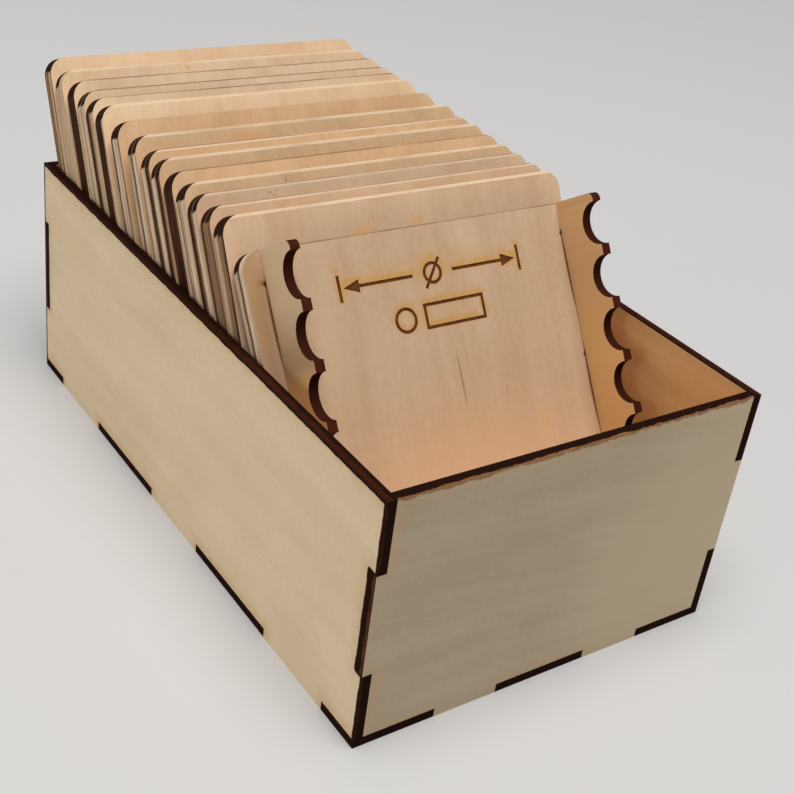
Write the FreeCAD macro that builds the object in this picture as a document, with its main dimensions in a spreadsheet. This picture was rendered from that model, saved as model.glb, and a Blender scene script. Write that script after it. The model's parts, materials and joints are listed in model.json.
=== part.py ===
import FreeCAD, Part
import os
import Sketcher
from FreeCAD import Placement, Rotation, Vector

# A card-index box of laser-cut plywood with a row of square cards leaning back in it.
# Frame: origin at the centre of the floor's underside, X to the right along the front,
# Y to the back along the length, Z up.

# Driving dimensions, in millimetres and degrees
DRIVING = {
    # the box: clear inside sizes and the sheet that everything is cut from
    "inner_width": 120.0,
    "inner_length": 208.0,
    "inner_depth": 76.0,
    "ply": 3.0,
    # finger joints: tabs of the long sides and of the short ends in the floor, and corner tabs
    "side_tab": 32.0,
    "side_tab_pitch": 75.0,
    "end_tab": 21.0,
    "end_tab_pitch": 53.0,
    "corner_tab": 32.0,
    "finger_room": 0.05,
    # cards: height, rounded top corners, free play at the walls, over the floor and at the rim
    "card_height": 117.0,
    "card_corner": 4.5,
    "card_side_room": 0.8,
    "stand_room": 0.1,
    "rim_room": 0.3,
    # lean of the rearmost card, of the card behind the front one, and of the front card
    "rear_lean": 22.8,
    "near_lean": 27.9,
    "front_lean": 33.5,
    # the front card: its top stands off the card behind it, its rails stand off the front panel
    "front_card_room": 2.0,
    "rail_front_room": 2.4,
    # rails of the front card: place, depth, and the row of half-round notches for rods
    "rail_inset": 6.0,
    "rail_depth": 16.8,
    "rail_end_land": 2.7,
    "rod_diameter": 11.0,
    "rod_room": 1.9,
    "notch_land": 3.25,
    # free play of the rail tabs in the slots of their card
    "slot_room": 0.05,
}

# Gaps in front of the rear cards, from the back, as shares of the room that the cards leave free
GAP_SHARES = (0.022, 0.195, 0.022, 0.020, 0.020, 0.193, 0.351, 0.023, 0.021, 0.023, 0.021, 0.022, 0.046,
              0.021)

# Leans of the rear cards, from the back, as shares of the way from the first one's to the last one's
LEAN_SHARES = (0.0, 0.268, 0.302, 0.430, 0.430, 0.372, 0.590, 0.568, 0.785, 0.785, 0.912, 0.995, 1.027,
               1.079, 1.0)

# Tabs and their end margins as shares of a rail's length, and how many hold a rail
TAB_SHARE = 0.187
TAB_MARGIN_SHARE = 0.078
TABS = 3

# The rounded upper corner of a rail as a share of its depth
RAIL_CORNER_SHARE = 0.12

# Sizes and places of the box that follow from the driving dimensions
LAYOUT = {
    "outer_width": "sizes.inner_width + 2 * sizes.ply",
    "outer_length": "sizes.inner_length + 2 * sizes.ply",
    "outer_height": "sizes.inner_depth + sizes.ply",
    "floor_tab": "sizes.side_tab_pitch - sizes.side_tab",
    "floor_end_tab": "sizes.end_tab_pitch - sizes.end_tab",
    "corner_foot": "sizes.ply + (sizes.inner_depth - sizes.corner_tab) / 2",
    "corner_top": "corner_foot + sizes.corner_tab",
    "card_width": "sizes.inner_width - 2 * sizes.card_side_room",
    "card_depth": "2 * sizes.ply",
    # the front card's rails are level with its upper edge and hold as many notches as its height takes
    "rail_side": "card_width / 2 - sizes.rail_inset",
    "rail_front": "card_depth + sizes.rail_depth",
    "rail_corner": f"{RAIL_CORNER_SHARE} * sizes.rail_depth",
    "rail_notch": "sizes.rod_diameter + sizes.rod_room",
    "rail_notch_pitch": "rail_notch + sizes.notch_land",
    "rail_notch_count": "floor((sizes.card_height - 2 * sizes.rail_end_land + sizes.notch_land)"
                        " / rail_notch_pitch)",
    "rail_length": "rail_notch_count * rail_notch_pitch - sizes.notch_land + 2 * sizes.rail_end_land",
    "rail_foot": "sizes.card_height - rail_length",
    "rail_tab": f"{TAB_SHARE} * rail_length",
    "rail_tab_foot": f"rail_foot + {TAB_MARGIN_SHARE} * rail_length",
    "rail_tab_pitch": f"{(1 - 2 * TAB_MARGIN_SHARE - TAB_SHARE) / (TABS - 1)} * rail_length",
}

rear_cards = [f"card_{number:02d}" for number in range(1, len(LEAN_SHARES) + 1)]
front_card = f"card_{len(rear_cards) + 1:02d}"
all_cards = rear_cards + [front_card]

# Leans and feet: the rearmost card leans on the back panel's rim, the front card's rails stand
# off the front panel, and the others share the room between
LAYOUT[f"{front_card}_lean"] = "sizes.front_lean"
LAYOUT[f"{front_card}_foot"] = (
    "sizes.rail_front_room - sizes.inner_length / 2"
    " - rail_foot * sin(sizes.front_lean) + rail_front * cos(sizes.front_lean)"
)
LAYOUT["rear_foot"] = (
    "sizes.inner_length / 2 - sizes.rim_room / cos(sizes.rear_lean)"
    " - (sizes.inner_depth - sizes.stand_room) * tan(sizes.rear_lean)"
)
LAYOUT["near_foot"] = (
    f"{front_card}_foot + (sizes.front_card_room + card_depth"
    " + sizes.card_height * sin(sizes.front_lean - sizes.near_lean)) / cos(sizes.near_lean)"
)
for card, share in zip(rear_cards, LEAN_SHARES):
    LAYOUT[f"{card}_lean"] = f"sizes.rear_lean + (sizes.near_lean - sizes.rear_lean) * {share}"

# The least step from a rear card to the next one, at which they would touch at the foot, or at the top
# when both are lifted until their feet are level with the rim
LAYOUT["lifted_height"] = "sizes.card_height + sizes.inner_depth / cos(sizes.near_lean)"
for card, ahead in zip(rear_cards, rear_cards[1:]):
    turn = f"({ahead}_lean - {card}_lean)"
    LAYOUT[f"{card}_step"] = (
        f"max(card_depth / cos({card}_lean);"
        f" (card_depth * cos{turn} + lifted_height * sin{turn}) / cos({ahead}_lean))"
    )
steps = " - ".join(f"{card}_step" for card in rear_cards[:-1])
LAYOUT["free_room"] = f"rear_foot - near_foot - {steps}"
LAYOUT[f"{rear_cards[0]}_foot"] = "rear_foot"
for card, ahead, share in zip(rear_cards, rear_cards[1:], GAP_SHARES):
    LAYOUT[f"{ahead}_foot"] = f"{card}_foot - {card}_step - free_room * {share / sum(GAP_SHARES)}"

doc = FreeCAD.newDocument("file_box")


def fill_sheet(name, rows):
    """A sheet with one named row for each entry: the name in column A, its value in column B."""
    sheet = doc.addObject("Spreadsheet::Sheet", name)
    for row, (alias, value) in enumerate(rows.items(), start=1):
        sheet.set(f"A{row}", alias)
        sheet.set(f"B{row}", value)
        sheet.setAlias(f"B{row}", alias)
    doc.recompute()


fill_sheet("sizes", {alias: str(value) for alias, value in DRIVING.items()})
fill_sheet("layout", {alias: "=" + formula for alias, formula in LAYOUT.items()})


def new_body(label):
    """A sub-part: its label names its file."""
    body = doc.addObject("PartDesign::Body", label)
    body.Label = label
    return body


def new_sketch(body, name, role):
    """A sketch on one of the body's own origin planes."""
    sketch = body.newObject("Sketcher::SketchObject", name)
    plane = next(part for part in body.Origin.OriginFeatures if part.Role == role)
    sketch.AttachmentSupport = [(plane, "")]
    sketch.MapMode = "FlatFace"
    return sketch


def bind(sketch, kind, first, second, expression):
    """A dimension between two (geometry, point) pairs, driven by an expression."""
    value = float(sketch.evalExpression(expression))
    number = sketch.addConstraint(Sketcher.Constraint(kind, *first, *second, value))
    sketch.setExpression(f"Constraints[{number}]", expression)


def add_rectangle(sketch, left, foot, width, height):
    """A rectangle whose lower left corner and sides are driven by expressions."""
    x, y, dx, dy = (float(sketch.evalExpression(size)) for size in (left, foot, width, height))
    corners = [Vector(x, y), Vector(x + dx, y), Vector(x + dx, y + dy), Vector(x, y + dy)]
    line = sketch.GeometryCount
    for number, corner in enumerate(corners):
        sketch.addGeometry(Part.LineSegment(corner, corners[(number + 1) % 4]))
    for number, way in enumerate(("Horizontal", "Vertical", "Horizontal", "Vertical")):
        sketch.addConstraint(Sketcher.Constraint("Coincident", line + number, 2, line + (number + 1) % 4, 1))
        sketch.addConstraint(Sketcher.Constraint(way, line + number))
    origin = (-1, 1)
    bind(sketch, "DistanceX", origin, (line, 1), left)
    bind(sketch, "DistanceY", origin, (line, 1), foot)
    bind(sketch, "DistanceX", (line, 1), (line, 2), width)
    bind(sketch, "DistanceY", (line + 1, 1), (line + 1, 2), height)


def add_circle(sketch, x, y, across):
    """A circle whose centre and diameter are driven by expressions."""
    middle = Vector(float(sketch.evalExpression(x)), float(sketch.evalExpression(y)))
    radius = float(sketch.evalExpression(across)) / 2
    circle = sketch.addGeometry(Part.Circle(middle, Vector(0, 0, 1), radius))
    origin = (-1, 1)
    bind(sketch, "DistanceX", origin, (circle, 3), x)
    bind(sketch, "DistanceY", origin, (circle, 3), y)
    bind(sketch, "Diameter", (circle,), (), across)


def pad(body, sketch, name):
    """The sketch thickened to one sheet of plywood."""
    feature = body.newObject("PartDesign::Pad", name)
    feature.Profile = sketch
    feature.setExpression("Length", "sizes.ply")
    sketch.Visibility = False
    doc.recompute()
    return feature


def cut(body, sketch, name):
    """The sketch cut right through the sheet."""
    before = body.Shape.Volume
    feature = body.newObject("PartDesign::Pocket", name)
    feature.Profile = sketch
    feature.Type = "ThroughAll"
    feature.SideType = "Symmetric"
    doc.recompute()
    if feature.Shape.Volume >= before:
        raise RuntimeError(f"{body.Label}: {name} cuts nothing")
    return feature


def repeat(body, feature, name, count, pitch):
    """Copies of a feature along the body's own Y axis."""
    pattern = body.newObject("PartDesign::LinearPattern", name)
    pattern.Originals = [feature]
    axis = next(part for part in body.Origin.OriginFeatures if part.Role == "Y_Axis")
    pattern.Direction = (axis, [""])
    pattern.Mode = "Spacing"
    pattern.setExpression("Offset", pitch)
    pattern.setExpression("Occurrences", count)
    body.Tip = pattern
    doc.recompute()
    return pattern


def round_edges(body, name, radius, is_edge):
    """A fillet on the edges of the body that the test picks by their middle point."""
    base = body.Tip
    edges = [f"Edge{number}" for number, edge in enumerate(base.Shape.Edges, start=1)
             if is_edge(edge.CenterOfMass)]
    feature = body.newObject("PartDesign::Fillet", name)
    feature.Base = (base, edges)
    feature.setExpression("Radius", radius)
    doc.recompute()


def stand(body, turn, **places):
    """The body's placement: a turn, and an expression for each coordinate that isn't zero."""
    body.Placement = Placement(Vector(), turn)
    for axis, expression in places.items():
        body.setExpression(f"Placement.Base.{axis}", expression)


# Box panels

def floor_panel():
    """The floor, notched along its edges for the tabs of the four walls."""
    body = new_body("floor_panel")
    sheet = new_sketch(body, "floor_sheet", "XY_Plane")
    add_rectangle(sheet, "-layout.outer_width / 2", "-layout.outer_length / 2",
                  "layout.outer_width", "layout.outer_length")
    pad(body, sheet, "floor_pad")
    notches = new_sketch(body, "floor_notches", "XY_Plane")
    side_notch = "sizes.side_tab + 2 * sizes.finger_room"
    end_notch = "sizes.end_tab + 2 * sizes.finger_room"
    for left in ("-layout.outer_width / 2", "layout.outer_width / 2 - sizes.ply"):
        for place in (-1, 0, 1):
            middle = f"{place} * sizes.side_tab_pitch"
            add_rectangle(notches, left, f"{middle} - ({side_notch}) / 2", "sizes.ply", side_notch)
    for foot in ("-layout.outer_length / 2", "layout.outer_length / 2 - sizes.ply"):
        for place in (-1, 1):
            middle = f"{place} * sizes.end_tab_pitch / 2"
            add_rectangle(notches, f"{middle} - ({end_notch}) / 2", foot, end_notch, "sizes.ply")
    cut(body, notches, "floor_notch_cut")


def side_panel(label, x):
    """A long wall: the floor's tabs enter its lower edge, the end panels' tabs its upright edges."""
    body = new_body(label)
    sheet = new_sketch(body, f"{label}_sheet", "XY_Plane")
    half = "layout.outer_length / 2"
    add_rectangle(sheet, f"-{half}", "0", "layout.outer_length", "layout.outer_height")
    pad(body, sheet, f"{label}_pad")
    notches = new_sketch(body, f"{label}_notches", "XY_Plane")
    corner = f"{half} - sizes.side_tab_pitch - sizes.side_tab / 2 + sizes.finger_room"
    between = "layout.floor_tab + 2 * sizes.finger_room"
    add_rectangle(notches, f"-{half}", "0", corner, "sizes.ply")
    add_rectangle(notches, f"{half} - ({corner})", "0", corner, "sizes.ply")
    for place in (-1, 1):
        middle = f"{place} * sizes.side_tab_pitch / 2"
        add_rectangle(notches, f"{middle} - ({between}) / 2", "0", between, "sizes.ply")
    for left in (f"-{half}", f"{half} - sizes.ply"):
        add_rectangle(notches, left, "layout.corner_foot - sizes.finger_room", "sizes.ply",
                      "sizes.corner_tab + 2 * sizes.finger_room")
    cut(body, notches, f"{label}_notch_cut")
    # the sheet's length runs along Y, its height along Z and its thickness along X
    stand(body, Rotation(Vector(0, 1, 0), Vector(0, 0, 1), Vector(1, 0, 0)), x=x)


def end_panel(label, y):
    """A short wall between the long ones, with a tab through each of them and two in the floor."""
    body = new_body(label)
    sheet = new_sketch(body, f"{label}_sheet", "XY_Plane")
    half = "layout.outer_width / 2"
    add_rectangle(sheet, f"-{half}", "0", "layout.outer_width", "layout.outer_height")
    pad(body, sheet, f"{label}_pad")
    notches = new_sketch(body, f"{label}_notches", "XY_Plane")
    corner = f"{half} - sizes.end_tab_pitch / 2 - sizes.end_tab / 2"
    beside = f"{corner} - sizes.ply"
    add_rectangle(notches, f"-{half} + sizes.ply", "0", beside, "sizes.ply")
    add_rectangle(notches, f"{half} - ({corner})", "0", beside, "sizes.ply")
    add_rectangle(notches, "-layout.floor_end_tab / 2", "0", "layout.floor_end_tab", "sizes.ply")
    for left in (f"-{half}", f"{half} - sizes.ply"):
        add_rectangle(notches, left, "0", "sizes.ply", "layout.corner_foot")
        add_rectangle(notches, left, "layout.corner_top", "sizes.ply",
                      "layout.outer_height - layout.corner_top")
    cut(body, notches, f"{label}_notch_cut")
    # the sheet's width runs along X, its height along Z and its thickness towards the front
    stand(body, Rotation(Vector(1, 0, 0), Vector(0, 0, 1), Vector(0, -1, 0)), y=y)


floor_panel()
side_panel("left_side_panel", "-layout.outer_width / 2")
side_panel("right_side_panel", "layout.outer_width / 2 - sizes.ply")
end_panel("front_panel", "sizes.ply - layout.outer_length / 2")
end_panel("back_panel", "layout.outer_length / 2")


# Cards: X runs along the width, Y up the sheets, Z out of the front face. A card is two sheets glued face
# to face. The origin is the middle of its lower back edge, on which it stands.

def lean_back(body, card, x="0"):
    """A card's piece stood on its lower back edge and leaned back."""
    stand(body, Rotation(Vector(1, 0, 0), 90), x=x, y=f"layout.{card}_foot",
          z="sizes.ply + sizes.stand_room")
    body.setExpression("Placement.Rotation.Angle", f"90 - layout.{card}_lean")


def card_sheet(label, lift):
    """A square sheet with its two top corners rounded, lifted off the card's back."""
    body = new_body(label)
    outline = new_sketch(body, f"{label}_outline", "XY_Plane")
    outline.setExpression("AttachmentOffset.Base.z", lift)
    add_rectangle(outline, "-layout.card_width / 2", "0", "layout.card_width", "sizes.card_height")
    pad(body, outline, f"{label}_pad")
    box = body.Shape.BoundBox
    corners = [Vector(x, box.YMax, box.Center.z) for x in (box.XMin, box.XMax)]
    reach = box.ZLength / 4
    round_edges(body, f"{label}_corners", "sizes.card_corner",
                lambda point: min(point.distanceToPoint(corner) for corner in corners) < reach)
    return body


def rail_slots(body):
    """Two columns of slots through the front card's front sheet for the tabs of its rails."""
    slots = new_sketch(body, "rail_slot", "XY_Plane")
    width = "sizes.ply + 2 * sizes.slot_room"
    height = "layout.rail_tab + 2 * sizes.slot_room"
    for left in ("-layout.rail_side - sizes.slot_room", "layout.rail_side - sizes.ply - sizes.slot_room"):
        add_rectangle(slots, left, "layout.rail_tab_foot - sizes.slot_room", width, height)
    slot = cut(body, slots, "rail_slot_cut")
    repeat(body, slot, "rail_slots", str(TABS), "layout.rail_tab_pitch")


def card_rail(label, x):
    """An upright rail on the front card, tabbed into its front sheet, with notches for a row of rods."""
    body = new_body(label)
    strip = new_sketch(body, f"{label}_strip", "YZ_Plane")
    add_rectangle(strip, "layout.rail_foot", "layout.card_depth", "layout.rail_length", "sizes.rail_depth")
    pad(body, strip, f"{label}_pad")
    box = body.Shape.BoundBox
    corner = Vector(box.XLength / 2, box.YMax, box.ZMax)
    reach = box.XLength / 4
    round_edges(body, f"{label}_corner", "layout.rail_corner",
                lambda point: point.distanceToPoint(corner) < reach)
    tab_sheet = new_sketch(body, f"{label}_tab", "YZ_Plane")
    add_rectangle(tab_sheet, "layout.rail_tab_foot", "sizes.ply", "layout.rail_tab", "sizes.ply")
    tab = pad(body, tab_sheet, f"{label}_tab_pad")
    repeat(body, tab, f"{label}_tabs", str(TABS), "layout.rail_tab_pitch")
    opening = new_sketch(body, f"{label}_notch", "YZ_Plane")
    add_circle(opening, "layout.rail_foot + sizes.rail_end_land + layout.rail_notch / 2",
               "layout.rail_front", "layout.rail_notch")
    notch = cut(body, opening, f"{label}_notch_cut")
    repeat(body, notch, f"{label}_notches", "layout.rail_notch_count", "layout.rail_notch_pitch")
    lean_back(body, front_card, x)


for card in all_cards:
    lean_back(card_sheet(f"{card}_back_sheet", "0"), card)
    plate = card_sheet(f"{card}_plate", "sizes.ply")
    if card == front_card:
        rail_slots(plate)
    lean_back(plate, card)
card_rail(f"{front_card}_left_rail", "-layout.rail_side")
card_rail(f"{front_card}_right_rail", "layout.rail_side - sizes.ply")

# Every feature has to be sound before anything is written
doc.recompute()
for item in doc.Objects:
    if {"Invalid", "Error"} & set(item.State):
        raise RuntimeError(f"{item.Label} failed: {item.State}")

bodies = [item for item in doc.Objects if item.isDerivedFrom("PartDesign::Body")]
for body in bodies:
    if body.Shape.isNull() or not body.Shape.isValid() or len(body.Shape.Solids) != 1:
        raise RuntimeError(f"{body.Label} is not one sound solid")

os.makedirs("parts", exist_ok=True)
for body in bodies:
    body.Shape.exportStep(os.path.join("parts", f"{body.Label}.step"))
print(len(bodies), "sub-parts written")
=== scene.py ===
import json
import math

import bmesh
import bpy
from mathutils import Euler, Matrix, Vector


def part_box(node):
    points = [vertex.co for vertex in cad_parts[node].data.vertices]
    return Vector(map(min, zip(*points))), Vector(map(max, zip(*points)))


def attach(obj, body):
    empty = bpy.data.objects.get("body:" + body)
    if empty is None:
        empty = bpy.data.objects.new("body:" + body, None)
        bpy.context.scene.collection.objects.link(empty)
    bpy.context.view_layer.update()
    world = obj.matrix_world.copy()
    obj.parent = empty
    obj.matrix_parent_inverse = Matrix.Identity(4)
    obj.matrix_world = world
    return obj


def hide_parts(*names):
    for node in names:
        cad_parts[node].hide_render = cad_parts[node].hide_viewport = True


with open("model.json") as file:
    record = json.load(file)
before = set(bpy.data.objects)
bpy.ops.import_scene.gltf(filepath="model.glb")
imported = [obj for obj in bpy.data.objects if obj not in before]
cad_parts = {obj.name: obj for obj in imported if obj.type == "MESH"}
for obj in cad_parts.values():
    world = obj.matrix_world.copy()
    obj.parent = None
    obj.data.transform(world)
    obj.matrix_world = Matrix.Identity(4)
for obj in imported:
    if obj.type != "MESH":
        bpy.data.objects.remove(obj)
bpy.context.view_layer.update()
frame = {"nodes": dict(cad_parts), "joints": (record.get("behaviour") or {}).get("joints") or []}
nodes = frame["nodes"]

# Floor panel: one sheet of three-ply birch, laser cut. Its tabs end in the outer faces of the four
# walls, so its edges are charred like every edge that the beam cuts. The walls stand round it, glued.
MM = 0.001
PLY = 3.0
FLAT = (0.0, 0.0, 0.0)
DULL_SHINE = 0.03
low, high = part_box("left_side_panel")
box_length = (high.y - low.y) / MM
box_height = (high.z - low.z) / MM
box_width = -2 * low.x / MM


def place(tree, kind, inputs, **settings):
    """Adds one shader node, sets its options and gives each input a number or another node's socket."""
    made = tree.nodes.new(kind)
    for name, value in settings.items():
        setattr(made, name, value)
    for name, value in inputs.items():
        if isinstance(value, bpy.types.NodeSocket):
            tree.links.new(value, made.inputs[name])
        else:
            made.inputs[name].default_value = value
    return made


def calc(tree, operation, *values):
    """One step of arithmetic on numbers and sockets."""
    return place(tree, "ShaderNodeMath", dict(enumerate(values)), operation=operation).outputs[0]


def fade(tree, value, start, end, first=0.0, last=1.0):
    """Runs smoothly from the first number at start to the last one at end."""
    inputs = {"Value": value, "From Min": start, "From Max": end, "To Min": first, "To Max": last}
    return place(tree, "ShaderNodeMapRange", inputs, interpolation_type="SMOOTHSTEP").outputs["Result"]


def blend(tree, share, first, second, way="MIX"):
    """Goes from the first colour to the second by a share between zero and one."""
    inputs = {0: share, 6: first, 7: second}
    return place(tree, "ShaderNodeMix", inputs, data_type="RGBA", blend_type=way).outputs[2]


def cloud(tree, across, along, seed, across_size, along_size, detail=2.0):
    """Noise whose patches measure about across_size by along_size millimetres."""
    vector = place(tree, "ShaderNodeCombineXYZ", {
        "X": calc(tree, "DIVIDE", across, across_size),
        "Y": calc(tree, "DIVIDE", along, along_size),
        "Z": seed})
    inputs = {"Vector": vector.outputs[0], "Scale": 1.0, "Detail": detail, "Roughness": 0.55}
    return place(tree, "ShaderNodeTexNoise", inputs).outputs["Fac"]


def spread(tree, noise, least=0.0, most=1.0):
    """Stretches noise, which mostly lies between 0.3 and 0.7, to run from the least to the most."""
    return fade(tree, noise, 0.3, 0.7, least, most)


def wander(tree, across, along, seed, size, least, most, detail=3):
    """A number that wanders between the least and the most over patches of one size."""
    return spread(tree, cloud(tree, across, along, seed, size, size, detail), least, most)


def new_material(name):
    """A material with nodes: its tree and its shader."""
    material = bpy.data.materials.new(name)
    material.use_nodes = True
    shader = material.node_tree.nodes["Principled BSDF"]
    return material, material.node_tree, shader


def dress(tree, shader, colour, roughness, relief, strength, depth, shine=DULL_SHINE):
    """Gives a shader its colour, roughness and shine, and a relief as deep as depth in millimetres."""
    tree.links.new(colour, shader.inputs["Base Color"])
    tree.links.new(roughness, shader.inputs["Roughness"])
    shader.inputs["Specular IOR Level"].default_value = shine
    bump = place(tree, "ShaderNodeBump", {"Strength": strength, "Distance": depth * MM, "Height": relief})
    tree.links.new(bump.outputs["Normal"], shader.inputs["Normal"])


def sheet_places(tree, corner, turn):
    """Places on a sheet in millimetres: along its width, up it and through it."""
    coordinates = place(tree, "ShaderNodeTexCoord", {})
    mapping = place(tree, "ShaderNodeMapping", {
        "Vector": coordinates.outputs["Object"],
        "Location": corner,
        "Rotation": turn,
        "Scale": (MM, MM, MM)}, vector_type="TEXTURE")
    return place(tree, "ShaderNodeSeparateXYZ", {"Vector": mapping.outputs["Vector"]}).outputs[:3]


def make_veneer_figure():
    """The figure of peeled birch: soft bands, fine fibres and short pores, all along the grain."""
    group = bpy.data.node_groups.new("veneer_figure", "ShaderNodeTree")
    for name in ("Across", "Along", "Seed"):
        group.interface.new_socket(name, in_out="INPUT", socket_type="NodeSocketFloat")
    for name in ("Bands", "Fibres", "Pores"):
        group.interface.new_socket(name, in_out="OUTPUT", socket_type="NodeSocketFloat")
    ends = place(group, "NodeGroupInput", {})
    across, along, seed = ends.outputs[:3]
    drift = spread(group, cloud(group, across, along, seed, 60, 160), -2.5, 2.5)
    waved = calc(group, "ADD", across, drift)
    bands = cloud(group, waved, along, calc(group, "ADD", seed, 11), 8, 190, 3)
    fibres = cloud(group, waved, along, calc(group, "ADD", seed, 23), 0.5, 24, 3)
    specks = cloud(group, waved, along, calc(group, "ADD", seed, 37), 0.28, 4.5, 1)
    pores = fade(group, specks, 0.66, 0.78)
    place(group, "NodeGroupOutput", {"Bands": bands, "Fibres": fibres, "Pores": pores})
    return group


veneer_figure = make_veneer_figure()
GOLDEN_SMOKE = (0.50, 0.30, 0.14, 1)
SMOKE_REACH = 6.0


def spot(tree, across, up, middle, reach):
    """One in the middle of an oval mark, fading to zero at its reach across and up the sheet."""
    square = 0.0
    for value, centre, half in zip((across, up), middle, reach):
        share = calc(tree, "DIVIDE", calc(tree, "SUBTRACT", value, centre), half)
        square = calc(tree, "MULTIPLY_ADD", share, share, square)
    return fade(tree, square, 0.0, 1.0, 1.0, 0.0)


def stained(tree, wide, up, colour, marks):
    """Adds oval marks to a colour: each has a middle, a reach, a colour and a strength."""
    for middle, reach, stain, strength in marks:
        mark = calc(tree, "MULTIPLY", spot(tree, wide, up, middle, reach), strength)
        colour = blend(tree, mark, colour, stain)
    return colour


def veneer(name, corner, turn, tones, seed, upright=False, skew=0.0, edge=None, scorch=0.0, details=None):
    """A sanded veneer face. Its grain lies along the sheet's width, or up it where upright is set.

    tones are its light and its dark colour, edge gives the distance to the nearest cut, where smoke has
    browned the face, and details adds what only this face has."""
    material, tree, shader = new_material(name)
    wide, up = sheet_places(tree, corner, turn)[:2]
    along, across = (up, wide) if upright else (wide, up)
    across = calc(tree, "MULTIPLY_ADD", along, skew, across)
    figure = place(tree, "ShaderNodeGroup", {"Across": across, "Along": along, "Seed": float(seed)},
                   node_tree=veneer_figure)
    bands, fibres, pores = figure.outputs
    tone = 0.0
    patches = cloud(tree, wide, up, seed + 7.0, 34, 34)
    mottle = cloud(tree, wide, up, seed + 13.0, 1.7, 2.6, 3)
    for layer, weight in ((bands, 0.75), (patches, 0.6), (fibres, 0.28), (mottle, 0.35)):
        tone = calc(tree, "MULTIPLY_ADD", layer, weight, tone)
    colour = blend(tree, fade(tree, tone, 0.65, 1.35), *tones)
    colour = blend(tree, calc(tree, "MULTIPLY", pores, 0.15), colour, tones[1], "MULTIPLY")
    if edge is not None:
        ragged = wander(tree, wide, up, seed + 5.0, 6, -0.3, 1.8)
        gap = calc(tree, "ADD", edge(tree, wide, up), ragged)
        smoke = calc(tree, "MULTIPLY", fade(tree, gap, 0.0, SMOKE_REACH, 1.0, 0.0), scorch)
        colour = blend(tree, smoke, colour, GOLDEN_SMOKE)
    if details is not None:
        colour = details(tree, wide, up, colour)
    relief = calc(tree, "MULTIPLY_ADD", pores, -0.8, fibres)
    dress(tree, shader, colour, spread(tree, fibres, 0.55, 0.72), relief, 0.25, 0.05)
    return material


def charred_cut(name, corner, turn, seed, outer_face, char, skin, skin_depth, rim_skin=None, rim_depth=0.0,
                rim_run=None):
    """An edge that the beam has burnt, striped through the sheet by the beam's pulses.

    The ply under the outer face is burnt less than the others, down to skin_depth. Along a wall's upper
    rim it has its own colour and depth, which come up between the two places of rim_run along the wall."""
    material, tree, shader = new_material(name)
    wide, up, through = sheet_places(tree, corner, turn)
    run = calc(tree, "ADD", wide, up)
    soot = cloud(tree, run, through, float(seed), 6, 2.5, 4)
    stripes = cloud(tree, run, through, seed + 9.0, 0.6, 2.2, 3)
    waver = wander(tree, run, through, seed + 3.0, 4, -0.3, 0.3, 4)
    depth = calc(tree, "ADD", calc(tree, "ABSOLUTE", calc(tree, "SUBTRACT", through, outer_face)), waver)
    spared = fade(tree, soot, 0.25, 0.75, 0.35, 1.0)

    def layered(ply_colour, ply_depth):
        ply = fade(tree, depth, ply_depth - 0.2, ply_depth + 0.2, 1.0, 0.0)
        return blend(tree, calc(tree, "MULTIPLY", ply, spared), char, ply_colour)

    colour = layered(skin, skin_depth)
    if rim_skin is not None:
        at_rim = fade(tree, up, box_height - 0.1, box_height - 0.02)
        if rim_run is not None:
            at_rim = calc(tree, "MULTIPLY", at_rim, fade(tree, wide, *rim_run))
        colour = blend(tree, at_rim, colour, layered(rim_skin, rim_depth))
    colour = blend(tree, fade(tree, stripes, 0.45, 0.8, 0.0, 0.5), colour, char)
    dress(tree, shader, colour, spread(tree, stripes, 0.7, 0.9), stripes, 0.4, 0.08)
    return material


def paint(piece, corner, turn, materials, choose):
    """Gives each polygon a material by its direction and its middle, both seen in the sheet's own frame."""
    back = Euler(turn).to_matrix().transposed()
    piece.data.materials.clear()
    for material in materials:
        piece.data.materials.append(material)
    for polygon in piece.data.polygons:
        middle = back @ (polygon.center - Vector(corner)) / MM
        polygon.material_index = choose(back @ polygon.normal, middle)


OUTER, INNER, CUT = range(3)


def panel_face(outward):
    """Tells a panel's outer, inner and cut faces apart. outward is the way through it to the outside."""
    def choose(normal, middle):
        if abs(normal.z) < 0.5:
            return CUT
        return OUTER if normal.z * outward > 0 else INNER

    return choose


PALE_SIDE = ((0.67, 0.535, 0.37, 1), (0.59, 0.45, 0.29, 1))
# The inner faces and the floor's upper face take a warm orange copy of the pale veneer: painted reflected
# light, standing for the light bounced between the inner walls.
BOUNCE_WARMED_SIDE = ((0.67, 0.385, 0.17, 1), (0.575, 0.305, 0.12, 1))
CHAR = (0.013, 0.0037, 0.0019, 1)
BROWN_CHAR = (0.043, 0.0105, 0.004, 1)

floor_skins = [
    veneer("floor_under_veneer", FLAT, FLAT, PALE_SIDE, 1, upright=True),
    veneer("floor_upper_veneer", FLAT, FLAT, BOUNCE_WARMED_SIDE, 2, upright=True),
    charred_cut("floor_cut", FLAT, FLAT, 3, 0.0, CHAR, BROWN_CHAR, 0.3)]
paint(nodes["floor_panel"], FLAT, FLAT, floor_skins, panel_face(-1))

# Long side panels: the two walls that the end panels' tabs run through. The floor's tabs enter their
# lower edges. The grain lies along the box, and smoke has browned the veneer beside each cut.
SIDE_TURN = (math.pi / 2, 0.0, math.pi / 2)
SIDE_TAB = 32.0
SIDE_TAB_PITCH = 75.0
CORNER_TAB = 32.0
CORNER_FOOT = 25.0
RIM_CHAR = 1.1
END_CHAR = 0.9
TAB_CHAR = 0.8
BROWN_RIM_RUN = (10.0, -40.0)


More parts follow.
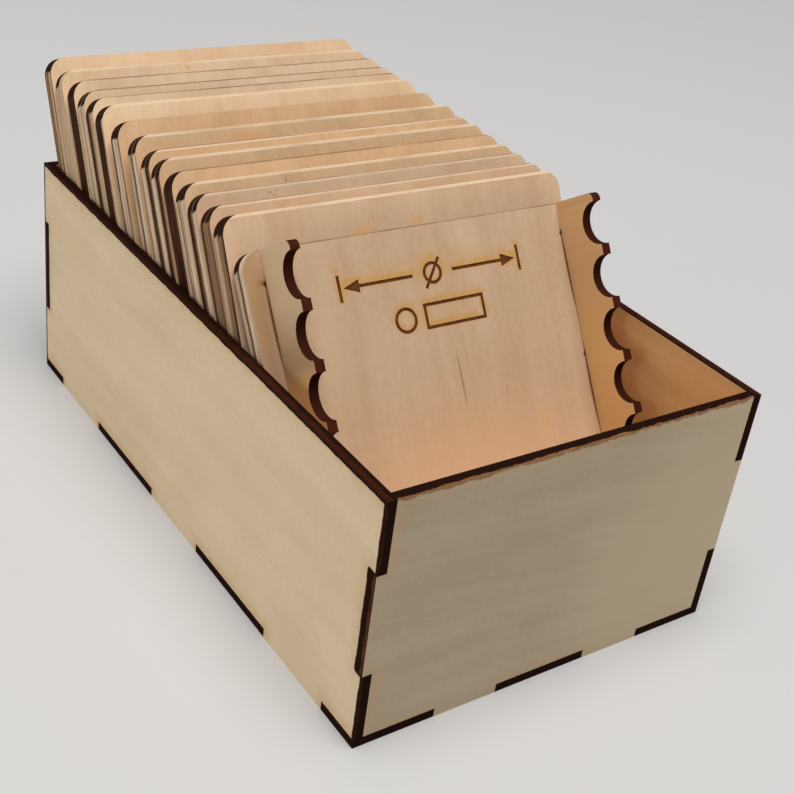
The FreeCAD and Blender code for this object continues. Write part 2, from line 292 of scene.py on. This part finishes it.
def box_gap(tree, across, up, left, right, foot, top):
    """Distance from a place on the sheet to a rectangle cut into it."""
    sides = []
    for value, first, last in ((across, left, right), (up, foot, top)):
        off = calc(tree, "ABSOLUTE", calc(tree, "SUBTRACT", value, (first + last) / 2))
        sides.append(calc(tree, "MAXIMUM", calc(tree, "SUBTRACT", off, (last - first) / 2), 0.0))
    square = calc(tree, "MULTIPLY_ADD", sides[0], sides[0], calc(tree, "MULTIPLY", sides[1], sides[1]))
    return calc(tree, "SQRT", square)


def nearest(tree, gaps):
    """The least of several distances."""
    least = gaps[0]
    for gap in gaps[1:]:
        least = calc(tree, "MINIMUM", least, gap)
    return least


def side_edge(tree, wide, up):
    """Distance to the rim, to the floor's tabs and to the end panels' tabs."""
    off = calc(tree, "ABSOLUTE", wide)
    half = box_length / 2
    tab_end = SIDE_TAB / 2
    return nearest(tree, [
        calc(tree, "SUBTRACT", box_height, up),
        box_gap(tree, off, up, tab_end, SIDE_TAB_PITCH - tab_end, 0, PLY),
        box_gap(tree, off, up, SIDE_TAB_PITCH + tab_end, half, 0, PLY),
        box_gap(tree, off, up, half - PLY, half, CORNER_FOOT, CORNER_FOOT + CORNER_TAB)])


def side_border(tree, wide, up, colour):
    """Chars the face itself along its rim, its ends and the tabs that come through it."""
    off = calc(tree, "ABSOLUTE", wide)
    half = box_length / 2
    ragged = wander(tree, wide, up, 4.0, 5, -0.15, 0.15)
    to_tab = box_gap(tree, off, up, half - PLY, half, CORNER_FOOT, CORNER_FOOT + CORNER_TAB)
    beyond = nearest(tree, [
        calc(tree, "SUBTRACT", box_height - RIM_CHAR, up),
        calc(tree, "SUBTRACT", half - END_CHAR, off),
        calc(tree, "SUBTRACT", to_tab, TAB_CHAR)])
    burnt = fade(tree, calc(tree, "ADD", beyond, ragged), -0.15, 0.15, 1.0, 0.0)
    return blend(tree, burnt, colour, CHAR)


for side, seed in (("left", 20), ("right", 30)):
    outward = -1 if side == "left" else 1
    side_skins = [
        veneer(f"{side}_outer_veneer", FLAT, SIDE_TURN, PALE_SIDE, seed,
               edge=side_edge, scorch=0.5, details=side_border),
        veneer(f"{side}_inner_veneer", FLAT, SIDE_TURN, BOUNCE_WARMED_SIDE, seed + 1,
               edge=side_edge, scorch=0.5),
        charred_cut(f"{side}_cut", FLAT, SIDE_TURN, seed + 2, outward * box_width / 2, CHAR,
                    BROWN_CHAR, 0.2 * PLY, BROWN_CHAR, 0.6 * PLY, BROWN_RIM_RUN)]
    paint(nodes[f"{side}_side_panel"], FLAT, SIDE_TURN, side_skins, panel_face(outward))

# End panels: the two short walls, held between the long ones by a tab at each end and by two tabs in
# the floor. The same sheet, with its grain across the box. The front one's rim is the most burnt.
END_TURN = (math.pi / 2, 0.0, 0.0)
END_TAB = 21.0
END_TAB_PITCH = 53.0
# The end panels' outer veneer is a darker copy of the long sides' pale veneer: painted shade on the end
# walls, which face away from the lamps.
SHADED_SIDE = ((0.46, 0.375, 0.265, 1), (0.395, 0.305, 0.205, 1))
RED_CHAR = (0.095, 0.030, 0.012, 1)
GOLDEN_CHAR = (0.30, 0.12, 0.04, 1)
TOASTED = (0.24, 0.128, 0.058, 1)
# A lighter tone painted low at one end of the end panels: painted light.
PAINTED_LIGHT_PATCH = (0.53, 0.425, 0.29, 1)


def end_edge(tree, wide, up):
    """Distance to the rim, to the floor's tabs and to the long walls' ends."""
    off = calc(tree, "ABSOLUTE", wide)
    half = box_width / 2
    first_tab = (END_TAB_PITCH - END_TAB) / 2
    last_tab = (END_TAB_PITCH + END_TAB) / 2
    return nearest(tree, [
        calc(tree, "SUBTRACT", box_height, up),
        box_gap(tree, off, up, 0, first_tab, 0, PLY),
        box_gap(tree, off, up, last_tab, half, 0, PLY),
        box_gap(tree, off, up, half - PLY, half, 0, CORNER_FOOT),
        box_gap(tree, off, up, half - PLY, half, CORNER_FOOT + CORNER_TAB, box_height)])


def end_border(tree, wide, up, colour):
    """Paints a lighter, yellower patch low at one end, a painted pool of light, and toasts the face in an
    uneven line under its rim.
    """
    ragged = wander(tree, wide, up, 8.0, 4, -0.55, 0.55, 4)
    down = calc(tree, "ADD", calc(tree, "SUBTRACT", box_height, up), ragged)
    colour = stained(tree, wide, up, colour, [((72.0, 24.0), (80.0, 80.0), PAINTED_LIGHT_PATCH, 0.85)])
    return blend(tree, fade(tree, down, 0.5, 1.1, 0.85, 0.0), colour, TOASTED)


for end, seed in (("front", 40), ("back", 50)):
    outward = 1 if end == "front" else -1
    end_skins = [
        veneer(f"{end}_outer_veneer", FLAT, END_TURN, SHADED_SIDE, seed,
               skew=0.12, edge=end_edge, scorch=0.25, details=end_border),
        veneer(f"{end}_inner_veneer", FLAT, END_TURN, BOUNCE_WARMED_SIDE, seed + 1,
               edge=end_edge, scorch=0.5),
        charred_cut(f"{end}_cut", FLAT, END_TURN, seed + 2, outward * box_length / 2, CHAR,
                    RED_CHAR, 0.45 * PLY, GOLDEN_CHAR, 0.12 * PLY)]
    paint(nodes[f"{end}_panel"], FLAT, END_TURN, end_skins, panel_face(outward))

# Rear cards: fifteen loose squares that lean back on each other, each of two sheets glued face to face
# with the grain upright. The corners are burnt. The straight edges are partly burnt and partly sanded
# clean, and show the three plies of each sheet.
CARD_HEIGHT = 117.0
CARD_CORNER = 5.8
CORNER_STEPS = 14
CARD_DEPTH = 2 * PLY
REAR_CARDS = 15
FIRST_WARM = 7
FIRST_GREY = 13
# The rearmost cards' paler tone is partly their own and partly painted light, for the brighter light at the
# back of the box.
PALE_AND_LIT_CARD = ((0.785, 0.58, 0.39, 1), (0.655, 0.455, 0.285, 1))
WARM_CARD = ((0.66, 0.44, 0.265, 1), (0.54, 0.34, 0.19, 1))
GREY_CARD = ((0.625, 0.435, 0.285, 1), (0.525, 0.34, 0.21, 1))
SANDED = (0.86, 0.66, 0.46, 1)
SINGED = (0.11, 0.040, 0.014, 1)
CHARRED = (0.022, 0.007, 0.004, 1)
# one letter for each ply of a card's side edges, from its back face to its front face
PLY_TONES = {
    "w": (0.63, 0.49, 0.345, 1),
    "t": (0.50, 0.355, 0.225, 1),
    "m": (0.28, 0.17, 0.11, 1),
    "b": (0.17, 0.085, 0.04, 1),
    "d": CHARRED}
SIDE_PLIES = ("bmbttb", "tttwtt", "dddddd", "twttwt", "ddbttt", "dddddt", "dwwwtb", "ttdwwt",
              "wwtddb", "wwtddb", "dddddd", "wbtwwt", "ddbwwt", "dbmmbb", "ttmmbd", "ttdwwt")
# the numbers of the cards with pale or burnt upper borders, and with a pale seam or a clean front sheet
# at their corners
SANDED_TOPS = (2, 6, 8, 9, 10, 12, 13, 14, 15)
SINGED_TOPS = (3, 4, 5, 9, 11, 13, 14, 16)
LIGHT_SEAMS = (4, 8, 9, 10, 13, 14)
CLEAN_FRONT_CORNERS = (2, 16)
KNOT = (0.22, 0.09, 0.04, 1)
ORANGE = (0.66, 0.33, 0.11, 1)
RUSTY = (0.36, 0.17, 0.10, 1)
# marks on the faces: across and down from the upper edge, reach, colour and strength
CARD_MARKS = {
    2: [((-13.5, 2.0), (1.4, 1.0), ORANGE, 0.5)],
    8: [((-21.0, 4.0), (9.0, 2.5), ORANGE, 0.45)],
    12: [((-26.0, 2.5), (0.3, 2.6), KNOT, 0.6)],
    13: [((-35.4, 2.2), (0.9, 0.5), RUSTY, 0.6), ((-34.0, 3.1), (0.8, 0.5), RUSTY, 0.6),
         ((-33.2, 1.9), (0.6, 0.4), RUSTY, 0.5)],
    15: [((-15.0, 9.6), (5.0, 2.2), ORANGE, 0.55), ((4.0, 8.8), (3.0, 1.6), ORANGE, 0.5)]}
low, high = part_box("card_01_plate")
card_half = (high.x - low.x) / 2 / MM
leans = {joint["child"]: math.asin(joint["axis"][1]) for joint in frame["joints"]}


def card_corner(card, lean):
    """The middle of the card's lower back edge."""
    low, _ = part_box(f"{card}_back_sheet")
    return (0.0, low.y + PLY * MM * math.cos(lean), low.z)


def card_details(number):
    """What one card's face shows of its own: its upper border and its marks."""
    marks = [((across, CARD_HEIGHT - down), *rest)
             for (across, down), *rest in CARD_MARKS.get(number, [])]

    def add(tree, wide, up, colour):
        down = calc(tree, "SUBTRACT", CARD_HEIGHT, up)
        uneven = fade(tree, cloud(tree, wide, up, number + 0.5, 18, 18), 0.3, 0.6, 0.45, 1.0)
        colour = stained(tree, wide, up, colour, marks)
        borders = ((SANDED_TOPS, 1.0, SANDED, 0.85), (SINGED_TOPS, 0.45, SINGED, 0.6))
        for cards, reach, tone, strength in borders:
            if number in cards:
                band = fade(tree, down, 0.6 * reach, reach, strength, 0.0)
                colour = blend(tree, calc(tree, "MULTIPLY", band, uneven), colour, tone)
        return colour

    return add


def card_cut(name, corner, turn, number):
    """The card's edges, ply by ply, with char on its corners, along its foot and where the beam cut."""
    material, tree, shader = new_material(name)
    wide, up, through = sheet_places(tree, corner, turn)
    seed = 120.0 + 3 * number
    waver = wander(tree, wide, up, seed, 9, -0.2, 0.2)
    plies = place(tree, "ShaderNodeValToRGB", {
        "Fac": calc(tree, "DIVIDE", calc(tree, "ADD", through, waver), CARD_DEPTH)})
    letters = SIDE_PLIES[number - 1]
    stops = plies.color_ramp.elements
    for count, letter in enumerate(letters):
        position = (count + 0.5) / len(letters)
        # a new ramp has two stops already
        stop = stops[count] if count < 2 else stops.new(position)
        stop.position = position
        stop.color = PLY_TONES[letter]
    streaks = cloud(tree, through, up, seed + 4.0, 0.3, 16, 3)
    streaked = fade(tree, streaks, 0.4, 0.75, 0.0, 0.55)
    colour = blend(tree, streaked, plies.outputs["Color"], PLY_TONES["b"])
    seam = spot(tree, through, 0.0, (PLY, 0.0), (0.3, 1.0))
    colour = blend(tree, calc(tree, "MULTIPLY", seam, 0.6), colour, CHARRED)
    blot = wander(tree, wide, up, seed + 8.0, 5, -0.5, 0.5)
    share = calc(tree, "FRACT", calc(tree, "DIVIDE", through, PLY))
    height = calc(tree, "MULTIPLY_ADD", share, -0.8, calc(tree, "ADD", up, blot))
    arc_foot, arc_start = CARD_HEIGHT - CARD_CORNER, card_half - CARD_CORNER
    near_top = fade(tree, height, arc_foot + 0.3, arc_foot + 1.0)
    near_side = fade(tree, calc(tree, "ABSOLUTE", wide), arc_start - 0.9, arc_start - 0.2)
    burnt = calc(tree, "MULTIPLY", near_top, near_side)
    if number in CLEAN_FRONT_CORNERS:
        burnt = calc(tree, "MULTIPLY", burnt, fade(tree, through, PLY - 0.1, PLY + 0.1, 1.0, 0.0))
    if number in LIGHT_SEAMS:
        burnt = calc(tree, "MULTIPLY", burnt, calc(tree, "SUBTRACT", 1.0, seam))
    along_foot = fade(tree, up, 1.0, 0.0)
    along_top = fade(tree, up, CARD_HEIGHT - 0.1, CARD_HEIGHT - 0.02, 0.0, float(number in SINGED_TOPS))
    burnt = calc(tree, "MAXIMUM", burnt, calc(tree, "MAXIMUM", along_foot, along_top))
    colour = blend(tree, burnt, colour, CHARRED)
    dress(tree, shader, colour, spread(tree, streaks, 0.65, 0.85), streaks, 0.3, 0.08)
    return material


FACE, EDGE, RECESS = range(3)


def sheet_face(normal, middle):
    """Tells a card sheet's two faces from its edges."""
    return FACE if abs(normal.z) > 0.5 else EDGE


def add_object(name, data):
    """A new object in the scene."""
    made = bpy.data.objects.new(name, data)
    bpy.context.scene.collection.objects.link(made)
    return made


def add_piece(name, bm):
    """A new object in the scene, with the mesh that has been built up for it."""
    mesh = bpy.data.meshes.new(name)
    bm.to_mesh(mesh)
    bm.free()
    return add_object(name, mesh)


def on_sheet(corner, turn, across, up, through):
    """The place in the scene of a point given in a sheet's own frame."""
    return Vector(corner) + Euler(turn).to_matrix() @ (Vector((across, up, through)) * MM)


def add_prism(bm, corner, turn, outline, foot, top):
    """A closed prism over a simple outline on a sheet."""
    ends = [[bm.verts.new(on_sheet(corner, turn, across, up, through)) for across, up in outline]
            for through in (foot, top)]
    bm.faces.new(reversed(ends[0]))
    bm.faces.new(ends[1])
    for first in range(len(outline)):
        second = (first + 1) % len(outline)
        bm.faces.new((ends[0][first], ends[0][second], ends[1][second], ends[1][first]))


def round_corner(way):
    """Points on the card's upper right corner from its side to its top, or mirrored where way is -1."""
    turns = [math.pi / 2 * step / CORNER_STEPS for step in range(CORNER_STEPS + 1)]
    return [(way * (card_half - CARD_CORNER + CARD_CORNER * math.cos(angle)),
             CARD_HEIGHT - CARD_CORNER + CARD_CORNER * math.sin(angle)) for angle in turns]


def rounded_sheet(name, node, body, corner, turn):
    """One sheet of a card, as thick as its solid, with its upper corners as wide as the real ones."""
    back = Euler(turn).to_matrix().transposed()
    depths = [(back @ (vertex.co - Vector(corner))).z / MM for vertex in nodes[node].data.vertices]
    outline = [(-card_half, 0.0), (card_half, 0.0)] + round_corner(1) + round_corner(-1)[::-1]
    bm = bmesh.new()
    add_prism(bm, corner, turn, outline, min(depths), max(depths))
    piece = add_piece(name, bm)
    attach(piece, body)
    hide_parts(node)
    return piece


def card_skins(number, corner, turn, tones, details):
    """The materials of one card: its faces and its edges."""
    card = f"card_{number:02d}"
    return [
        veneer(f"{card}_veneer", corner, turn, tones, 60 + 3 * number, upright=True, details=details),
        card_cut(f"{card}_cut", corner, turn, number)]


for number in range(1, REAR_CARDS + 1):
    card = f"card_{number:02d}"
    corner = card_corner(card, leans[card])
    turn = (math.pi / 2 - leans[card], 0.0, 0.0)
    tones = PALE_AND_LIT_CARD if number < FIRST_WARM else WARM_CARD if number < FIRST_GREY else GREY_CARD
    skins = card_skins(number, corner, turn, tones, card_details(number))
    for sheet, node in (("rear", "back_sheet"), ("front", "plate")):
        piece = rounded_sheet(f"{card}_{sheet}_sheet", f"{card}_{node}", card, corner, turn)
        paint(piece, corner, turn, skins, sheet_face)

# Front card: the same two sheets. The front one has two columns of slots for the rails, and the beam has
# sunk two signs into its face: a measured line for a diameter, and a rod seen from its end and its side.
FRONT_CARD = 16
FRONT_LEAN = math.radians(33.5)
FRONT_CARD_TONES = ((0.535, 0.385, 0.255, 1), (0.445, 0.295, 0.18, 1))
RAIL_LEFT = -53.2
RAIL_RIGHT = 50.2
TAB_MIDDLES = (21.6, 59.4, 97.3)
TAB_HALF = 10.8
LINE_UP = CARD_HEIGHT - 14.2
ROD_UP = CARD_HEIGHT - 26.3
MARK_HEIGHT = 7.6
STROKE = 0.95
MARK_DEPTH = 0.3
RING_SIDES = 40
CUT_OVERRUN = 1.0
LINE_HALF = 31.5
LINE_START = 7.0
HEAD_START = 25.0
HEAD_END = 30.2
HEAD_HALF = 1.9
SIGN_RADIUS = 3.3
SLASH_ACROSS = 3.0
SLASH_UP = 4.2
END_VIEW = -12.0
SMOKE_DRIFT = 0.8
HALO_REACH = 2.6
ROD_HALF = 3.3
ROD_LEFT = -5.0
ROD_RIGHT = 15.5
HALO = (0.50, 0.26, 0.06, 1)
SMUDGE = (0.30, 0.16, 0.06, 1)
# Darker tones painted on the narrow strip left of the left rail, warm above and dimmer below: painted shade
# in that channel, warmed by bounced light.
SHADED_STRIP_TOP = (0.35, 0.21, 0.105, 1)
SHADED_STRIP_FOOT = (0.30, 0.175, 0.10, 1)
# A light orange painted low on the front card: painted reflected light from the front panel's inner face.
PAINTED_BOUNCE_GLOW = (0.73, 0.44, 0.245, 1)
LIGHT_TOAST = (0.15, 0.050, 0.008, 1)
DARK_TOAST = (0.08, 0.023, 0.005, 1)
front_corner = card_corner("card_16", FRONT_LEAN)
front_turn = (math.pi / 2 - FRONT_LEAN, 0.0, 0.0)


def ring_gap(tree, wide, up, middle, radius):
    """Distance from a place on the sheet to a circle drawn on it."""
    across = calc(tree, "SUBTRACT", wide, middle[0])
    above = calc(tree, "SUBTRACT", up, middle[1])
    square = calc(tree, "MULTIPLY_ADD", across, across, calc(tree, "MULTIPLY", above, above))
    return calc(tree, "ABSOLUTE", calc(tree, "SUBTRACT", calc(tree, "SQRT", square), radius))


def mark_gap(tree, wide, up):
    """Distance to the nearest sunk stroke, measured a little lower down, because smoke drifts up."""
    up = calc(tree, "SUBTRACT", up, SMOKE_DRIFT)
    off = calc(tree, "ABSOLUTE", wide)
    rod_foot, rod_top = ROD_UP - ROD_HALF, ROD_UP + ROD_HALF
    return nearest(tree, [
        box_gap(tree, off, up, LINE_HALF, LINE_HALF, LINE_UP - MARK_HEIGHT / 2, LINE_UP + MARK_HEIGHT / 2),
        box_gap(tree, off, up, LINE_START, HEAD_START, LINE_UP, LINE_UP),
        box_gap(tree, off, up, HEAD_START, HEAD_END, LINE_UP - HEAD_HALF / 2, LINE_UP + HEAD_HALF / 2),
        ring_gap(tree, wide, up, (0.0, LINE_UP), SIGN_RADIUS),
        ring_gap(tree, wide, up, (END_VIEW, ROD_UP), ROD_HALF),
        box_gap(tree, wide, up, ROD_LEFT, ROD_RIGHT, rod_top, rod_top),
        box_gap(tree, wide, up, ROD_LEFT, ROD_RIGHT, rod_foot, rod_foot),
        box_gap(tree, wide, up, ROD_LEFT, ROD_LEFT, rod_foot, rod_top),
        box_gap(tree, wide, up, ROD_RIGHT, ROD_RIGHT, rod_foot, rod_top)])


def front_details(tree, wide, up, colour):
    """The front face's own marks: char beside the rails' tabs, a crack, streaks, smoke above the signs, and
    painted light: a painted reflected glow low down, painted shade on the strip left of the left rail and,
    in part, along each rail's root.
    """
    # across and up the card, reach, colour and strength
    marks = [
        ((0.0, 10.0), (80.0, 66.0), PAINTED_BOUNCE_GLOW, 0.75),
        ((-57.0, CARD_HEIGHT - 12.0), (5.0, 26.0), SHADED_STRIP_TOP, 0.9),
        ((-57.0, 55.0), (5.5, 58.0), SHADED_STRIP_FOOT, 0.9),
        ((-0.5, LINE_UP + 2.6), (36.0, 5.2), HALO, 0.2),
        ((1.0, ROD_UP + 2.4), (20.0, 5.6), HALO, 0.2),
        ((2.8, CARD_HEIGHT - 46.0), (0.4, 11.0), KNOT, 0.65),
        ((18.0, CARD_HEIGHT - 52.0), (0.25, 2.2), KNOT, 0.35),
        ((29.0, CARD_HEIGHT - 63.0), (0.8, 5.5), ORANGE, 0.6),
        ((30.4, CARD_HEIGHT - 64.5), (0.6, 4.5), ORANGE, 0.6),
        ((-54.9, CARD_HEIGHT - 8.9), (1.9, 1.5), SMUDGE, 0.55),
        ((-54.3, CARD_HEIGHT - 8.9), (1.0, 0.9), KNOT, 0.7)]
    for root in (RAIL_LEFT, RAIL_RIGHT):
        # a dark line along each rail's whole root: partly scorch and partly painted contact shadow where
        # the rail meets the face
        marks.append(((root, CARD_HEIGHT / 2), (0.5, CARD_HEIGHT / 2), SINGED, 0.6))
        for middle in TAB_MIDDLES:
            marks.append(((root - 0.2, middle), (0.9, TAB_HALF + 6.0), SINGED, 0.95))
            marks.append(((root - 0.2, middle + TAB_HALF - 0.4), (1.0, 1.2), CHARRED, 0.95))
    ragged = wander(tree, wide, up, 14.0, 2.5, -0.3, 0.9)
    smoke = fade(tree, calc(tree, "ADD", mark_gap(tree, wide, up), ragged), 0.0, HALO_REACH, 0.75, 0.0)
    colour = blend(tree, smoke, stained(tree, wide, up, colour, marks), HALO)
    return card_details(FRONT_CARD)(tree, wide, up, colour)


def add_mark(bm, outline):
    """A prism that sinks one mark into the front card."""
    add_prism(bm, front_corner, front_turn, outline, CARD_DEPTH - MARK_DEPTH, CARD_DEPTH + MARK_DEPTH)


def add_ring(bm, middle, outer, inner):
    """A closed ring that sinks a round mark into the front card."""
    foot, top = CARD_DEPTH - MARK_DEPTH, CARD_DEPTH + MARK_DEPTH
    turns = [math.tau * side / RING_SIDES for side in range(RING_SIDES)]
    loops = []
    for radius, through in ((outer, foot), (outer, top), (inner, top), (inner, foot)):
        points = [(middle[0] + radius * math.cos(angle), middle[1] + radius * math.sin(angle))
                  for angle in turns]
        loops.append([bm.verts.new(on_sheet(front_corner, front_turn, *point, through))
                      for point in points])
    for count, loop in enumerate(loops):
        following = loops[(count + 1) % len(loops)]
        for side in range(RING_SIDES):
            after = (side + 1) % RING_SIDES
            bm.faces.new((loop[side], loop[after], following[after], following[side]))


def bar(start, end):
    """The outline of a straight stroke."""
    start, end = Vector(start), Vector(end)
    way = (end - start).normalized()
    off = Vector((-way.y, way.x)) * STROKE / 2
    return [start - off, end - off, end + off, start + off]


cutter = bmesh.new()
for way in (-1, 1):
    tick = way * LINE_HALF
    add_mark(cutter, bar((tick, LINE_UP - MARK_HEIGHT / 2), (tick, LINE_UP + MARK_HEIGHT / 2)))
    upper_half = [(HEAD_START, HEAD_HALF), (HEAD_START, STROKE / 2), (LINE_START, STROKE / 2)]
    lower_half = [(across, -above) for across, above in reversed(upper_half)]
    arrow = [(way * across, LINE_UP + above)
             for across, above in [(HEAD_END, 0.0)] + upper_half + lower_half]
    add_mark(cutter, arrow if way < 0 else arrow[::-1])
    add_mark(cutter, bar((ROD_LEFT, ROD_UP + way * ROD_HALF), (ROD_RIGHT, ROD_UP + way * ROD_HALF)))
    waste = round_corner(way) + [
        (way * (card_half - CARD_CORNER), CARD_HEIGHT + CUT_OVERRUN),
        (way * (card_half + CUT_OVERRUN), CARD_HEIGHT + CUT_OVERRUN),
        (way * (card_half + CUT_OVERRUN), CARD_HEIGHT - CARD_CORNER)]
    add_prism(cutter, front_corner, front_turn, waste, PLY - CUT_OVERRUN, CARD_DEPTH + CUT_OVERRUN)
rod_foot = ROD_UP - ROD_HALF - STROKE / 2
rod_top = ROD_UP + ROD_HALF + STROKE / 2
for across in (ROD_LEFT, ROD_RIGHT):
    add_mark(cutter, bar((across, rod_foot), (across, rod_top)))
add_ring(cutter, (END_VIEW, ROD_UP), ROD_HALF + STROKE / 2, ROD_HALF - STROKE / 2)
add_ring(cutter, (0.0, LINE_UP), SIGN_RADIUS, SIGN_RADIUS - STROKE)
add_mark(cutter, bar((-SLASH_ACROSS, LINE_UP - SLASH_UP), (SLASH_ACROSS, LINE_UP + SLASH_UP)))
bmesh.ops.recalc_face_normals(cutter, faces=cutter.faces)
cutter_object = add_piece("mark_cutter", cutter)

front_sheet = bmesh.new()
front_sheet.from_mesh(nodes["card_16_plate"].data)
bmesh.ops.remove_doubles(front_sheet, verts=front_sheet.verts, dist=0.001 * MM)
bmesh.ops.dissolve_limit(front_sheet, angle_limit=0.001, verts=front_sheet.verts, edges=front_sheet.edges)
marked_sheet = add_piece("front_card_marked_sheet", front_sheet)
sink = marked_sheet.modifiers.new("sink_marks", "BOOLEAN")
sink.object = cutter_object
sink.operation = "DIFFERENCE"
sink.solver = "EXACT"
sink.use_self = True
marked_sheet.data = bpy.data.meshes.new_from_object(
    marked_sheet.evaluated_get(bpy.context.evaluated_depsgraph_get()))
marked_sheet.modifiers.clear()
bpy.data.objects.remove(cutter_object)
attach(marked_sheet, "card_16")
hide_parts("card_16_plate")


def burnt_recess(name):
    """The floor and the walls of the sunk marks: toasted brown, darker where the beam slowed."""
    material, tree, shader = new_material(name)
    wide, up, through = sheet_places(tree, front_corner, front_turn)
    toast = cloud(tree, wide, up, 3.0, 1.6, 1.6, 3)
    wall = fade(tree, through, CARD_DEPTH - MARK_DEPTH + 0.02, CARD_DEPTH - 0.1)
    colour = blend(tree, spread(tree, toast), LIGHT_TOAST, DARK_TOAST)
    colour = blend(tree, wall, colour, CHARRED)
    dress(tree, shader, colour, spread(tree, toast, 0.7, 0.85), toast, 0.4, 0.08, shine=0.1)
    return material


def front_sheet_face(normal, middle):
    """As on the other sheets, with the sunk marks told apart."""
    beside = abs(middle.x) < LINE_HALF + MARK_HEIGHT
    level = ROD_UP - MARK_HEIGHT < middle.y < LINE_UP + MARK_HEIGHT
    sunk = PLY < middle.z < CARD_DEPTH - 0.05 * MARK_DEPTH
    return RECESS if beside and level and sunk else sheet_face(normal, middle)


front_skins = card_skins(FRONT_CARD, front_corner, front_turn, FRONT_CARD_TONES, front_details)
front_skins.append(burnt_recess("burnt_recess"))
rear_sheet = rounded_sheet("card_16_rear_sheet", "card_16_back_sheet", "card_16", front_corner, front_turn)
paint(rear_sheet, front_corner, front_turn, front_skins, sheet_face)
paint(marked_sheet, front_corner, front_turn, front_skins, front_sheet_face)

# Front rails: two upright strips with seven half-round rod seats each, tabbed into the front card and
# glued. The beam has left the seats near black and the narrow lands between them red-brown.
# The two rails are the same plywood: the left rail's darker tones are painted shade, and the right rail's
# lighter, more orange tones are painted reflected light from the warm inside of the box.
SHADED_LEFT_RAIL = ((0.42, 0.275, 0.155, 1), (0.345, 0.21, 0.11, 1))
BOUNCE_LIT_RIGHT_RAIL = ((0.63, 0.395, 0.195, 1), (0.55, 0.32, 0.145, 1))
RAIL_FRONT = 22.8
SEAT_CHAR = (0.034, 0.008, 0.004, 1)
LAND_CHAR = (0.062, 0.013, 0.006, 1)
# A paler tone painted at the top of the left rail and a golden one at the foot of both: painted light above
# the rim and a painted reflection of the warm inner walls below.
PAINTED_LIGHT_TOP = (0.61, 0.45, 0.285, 1)
PAINTED_BOUNCE_FOOT = (0.85, 0.51, 0.22, 1)


def rail_painted_light(tree, wide, up, colour):
    """Painted light on the rails: the left rail's veneer is paler towards the top, where more light falls,
    and both are golden towards the foot, a painted reflection of the warm inner walls.
    """
    return stained(tree, wide, up, colour, [
        ((RAIL_LEFT, CARD_HEIGHT), (10.0, 32.0), PAINTED_LIGHT_TOP, 0.75),
        ((RAIL_LEFT, 66.0), (10.0, 20.0), PAINTED_BOUNCE_FOOT, 0.9),
        ((RAIL_RIGHT, 48.0), (10.0, 48.0), PAINTED_BOUNCE_FOOT, 0.65)])


def rail_face(normal, middle):
    """Tells a rail's two broad faces from its cut edges."""
    return FACE if abs(normal.x) > 0.5 else EDGE


rail_cut = charred_cut("rail_cut", front_corner, front_turn, 5, RAIL_FRONT, SEAT_CHAR, LAND_CHAR, 0.6)
for side, tones, seed in (("left", SHADED_LEFT_RAIL, 220), ("right", BOUNCE_LIT_RIGHT_RAIL, 230)):
    rail_skins = [
        veneer(f"{side}_rail_veneer", front_corner, front_turn, tones, seed,
               upright=True, details=rail_painted_light),
        rail_cut]
    paint(nodes[f"card_16_{side}_rail"], front_corner, front_turn, rail_skins, rail_face)

# Stage: a plain pale floor, an even pale sky, a large soft lamp high in front and a low one on the left
# that lights the long side.
FLOOR_HALF = 3.0
floor_mesh = bpy.data.meshes.new("studio_floor")
floor_mesh.from_pydata([(-FLOOR_HALF, -FLOOR_HALF, 0), (FLOOR_HALF, -FLOOR_HALF, 0),
                        (FLOOR_HALF, FLOOR_HALF, 0), (-FLOOR_HALF, FLOOR_HALF, 0)], [], [(0, 1, 2, 3)])
studio_floor = add_object("studio_floor", floor_mesh)
floor_material, _, floor_shader = new_material("pale_floor")
floor_shader.inputs["Base Color"].default_value = (0.515, 0.515, 0.52, 1)
floor_shader.inputs["Roughness"].default_value = 0.9
floor_mesh.materials.append(floor_material)

world = bpy.data.worlds.new("pale_sky")
bpy.context.scene.world = world
world.use_nodes = True
sky = world.node_tree.nodes["Background"]
sky.inputs["Color"].default_value = (1.0, 0.99, 0.97, 1)
sky.inputs["Strength"].default_value = 0.32


def soft_lamp(name, where, size, energy, colour):
    """A round lamp that faces the object."""
    lamp = bpy.data.lights.new(name, "AREA")
    lamp.shape = "DISK"
    lamp.size = size
    lamp.energy = energy
    lamp.color = colour
    lamp_object = add_object(name, lamp)
    lamp_object.location = where
    lamp_object.rotation_euler = Vector(where).to_track_quat("Z", "Y").to_euler()


soft_lamp("key_lamp", (-0.20, -0.50, 2.40), 2.1, 69.0, (1.0, 0.985, 0.96))
soft_lamp("fill_lamp", (-2.20, -0.02, 0.22), 1.5, 16.8, (1.0, 0.98, 0.95))

camera = bpy.data.cameras.new("camera")
camera.lens = 60.37
camera.sensor_width = 36.0
camera_object = add_object("camera", camera)
camera_object.location = (-0.21743, -0.30469, 0.25596)
camera_object.rotation_euler = [math.radians(turned) for turned in (59.0934, -6.9273, -33.5933)]
bpy.context.scene.camera = camera_object
bpy.context.scene.view_settings.view_transform = "Standard"
